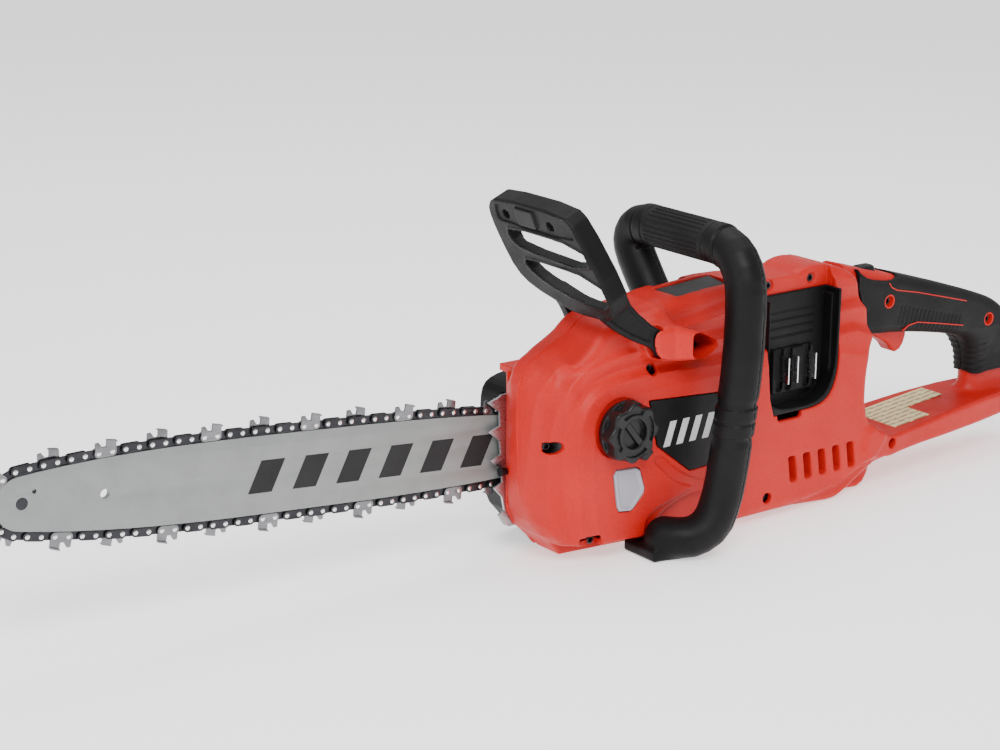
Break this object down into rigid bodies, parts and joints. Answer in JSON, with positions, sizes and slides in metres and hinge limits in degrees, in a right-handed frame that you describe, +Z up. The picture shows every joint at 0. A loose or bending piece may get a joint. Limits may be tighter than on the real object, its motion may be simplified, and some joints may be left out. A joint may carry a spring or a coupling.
{
  "type": "cordless chainsaw",
  "caption": "Rear-handle cordless chainsaw with a guide bar and saw chain, hinged hand guard, wrap-around front handle and side battery bays.",
  "frame": {"origin": "on the ground under the drive spindle, in the guide bar's middle plane", "axes": "+X from the bar's tip to the rear handle, +Z up, -Y the left side with the oil cap and the front handle's near leg"},
  "size_m": [0.8957, 0.1565, 0.2587],
  "materials": {
    "red_shell": "fine-textured moulded nylon",
    "black_plastic": "fine-textured moulded nylon",
    "black_rubber": "soft overmould",
    "bright_steel": "satin",
    "bar_paint": "satin light grey",
    "dark_steel": "blackened",
    "aluminium": "cast",
    "copper": "enamelled wire",
    "brass": "tinned",
    "window": "frosted clear plastic",
    "label": "printed film",
    "tank": "moulded polythene",
    "wire_red": "insulation"
  },
  "bodies": {
    "housing": {"left_housing": "red_shell", "right_housing": "red_shell", "sprocket_cover": "black_plastic", "spike_bumper": "bright_steel", "front_handle": "black_plastic", "front_grip": "black_rubber", "left_grip_cover": "black_rubber", "right_grip_cover": "black_rubber", "left_bay_liner": "black_plastic", "right_bay_liner": "black_plastic", "terminal_blocks": "black_plastic", "terminal_blades": "brass", "side_panel": "black_plastic", "top_panel": "black_plastic", "rating_label": "label", "oil_tank": "tank", "oil_window": "window", "oil_filter": "tank", "oil_hose": "tank", "oil_pump": "aluminium", "cap_strap": "black_plastic", "gear_case": "aluminium", "stator": "dark_steel", "windings": "copper", "bearings": "bright_steel", "brake_band": "bright_steel", "guard_pins": "bright_steel", "trigger_switch": "black_plastic", "controller": "black_plastic", "wires": "wire_red", "bar_studs": "bright_steel", "bar_nuts": "bright_steel", "bar_plate": "bright_steel", "chain_catcher": "aluminium", "housing_screws": "dark_steel", "handle_screws": "dark_steel"},
    "guard": {"hand_guard": "black_plastic"},
    "link": {"brake_link": "dark_steel"},
    "trigger": {"trigger": "red_shell"},
    "button": {"lock_button": "black_plastic"},
    "cap": {"oil_cap": "black_plastic", "cap_gasket": "black_rubber"},
    "rotor": {"rotor_core": "dark_steel", "rotor_shaft": "bright_steel", "pinion": "dark_steel", "fan": "black_plastic"},
    "drive": {"drive_gear": "dark_steel", "spindle": "bright_steel", "drive_sprocket": "dark_steel", "brake_drum": "dark_steel"},
    "pump": {"pump_gear": "dark_steel"},
    "bar": {"guide_bar": "bar_paint", "chain_drive_links": "dark_steel", "chain_straps": "dark_steel", "chain_cutters": "bright_steel", "chain_rivets": "bright_steel", "tension_pin": "dark_steel"},
    "nose": {"nose_sprocket": "dark_steel"},
    "adjuster": {"tension_screw": "dark_steel"}
  },
  "joints": [
    {"name": "guard_pivot", "type": "hinge", "parent": "housing", "child": "guard", "pos_m": [-0.01, -0.028, 0.155], "axis": [0, -1, 0], "range_deg": [0, 20]},
    {"name": "brake_link_slide", "type": "slide", "parent": "housing", "child": "link", "axis": [1, 0, 0], "range_m": [0, 0.0125]},
    {"name": "trigger_pull", "type": "hinge", "parent": "housing", "child": "trigger", "pos_m": [0.236, -0.028, 0.124], "axis": [0, -1, 0], "range_deg": [0, 10], "stiffness_Nm_per_rad": 1.2, "springref_deg": -8.59},
    {"name": "lock_off_press", "type": "slide", "parent": "housing", "child": "button", "axis": [0, 0, -1], "range_m": [0, 0.004], "stiffness_N_per_m": 300, "springref_m": -0.004},
    {"name": "oil_cap_turn", "type": "hinge", "parent": "housing", "child": "cap", "pos_m": [-0.04, -0.075, 0.098], "axis": [0, 1, 0], "range_deg": [0, 90]},
    {"name": "spindle_spin", "type": "hinge", "parent": "housing", "child": "drive", "pos_m": [0, 0, 0.07], "axis": [0, 1, 0], "continuous": true},
    {"name": "motor_spin", "type": "hinge", "parent": "housing", "child": "rotor", "pos_m": [0.03, 0, 0.0925], "axis": [0, 1, 0], "continuous": true},
    {"name": "pump_spin", "type": "hinge", "parent": "housing", "child": "pump", "pos_m": [0, -0.035, 0.052], "axis": [0, 1, 0], "continuous": true},
    {"name": "bar_slide", "type": "slide", "parent": "housing", "child": "bar", "axis": [0.9962, 0, -0.0872], "range_m": [0, 0.008]},
    {"name": "nose_spin", "type": "hinge", "parent": "bar", "child": "nose", "pos_m": [-0.4574, 0, 0.11002], "axis": [0, 1, 0], "continuous": true},
    {"name": "tension_turn", "type": "hinge", "parent": "housing", "child": "adjuster", "pos_m": [-0.10088, -0.014, 0.06427], "axis": [0.9962, 0, -0.0872], "range_deg": [0, 3600]}
  ],
  "couplings": [
    {"joint": "brake_link_slide", "follows": "guard_pivot", "m_per_rad": 0.0352},
    {"joint": "motor_spin", "follows": "spindle_spin", "ratio": -4},
    {"joint": "pump_spin", "follows": "spindle_spin", "ratio": -0.63636},
    {"joint": "nose_spin", "follows": "spindle_spin", "ratio": 0.85714},
    {"joint": "tension_turn", "follows": "bar_slide", "rad_per_m": 7854}
  ]
}
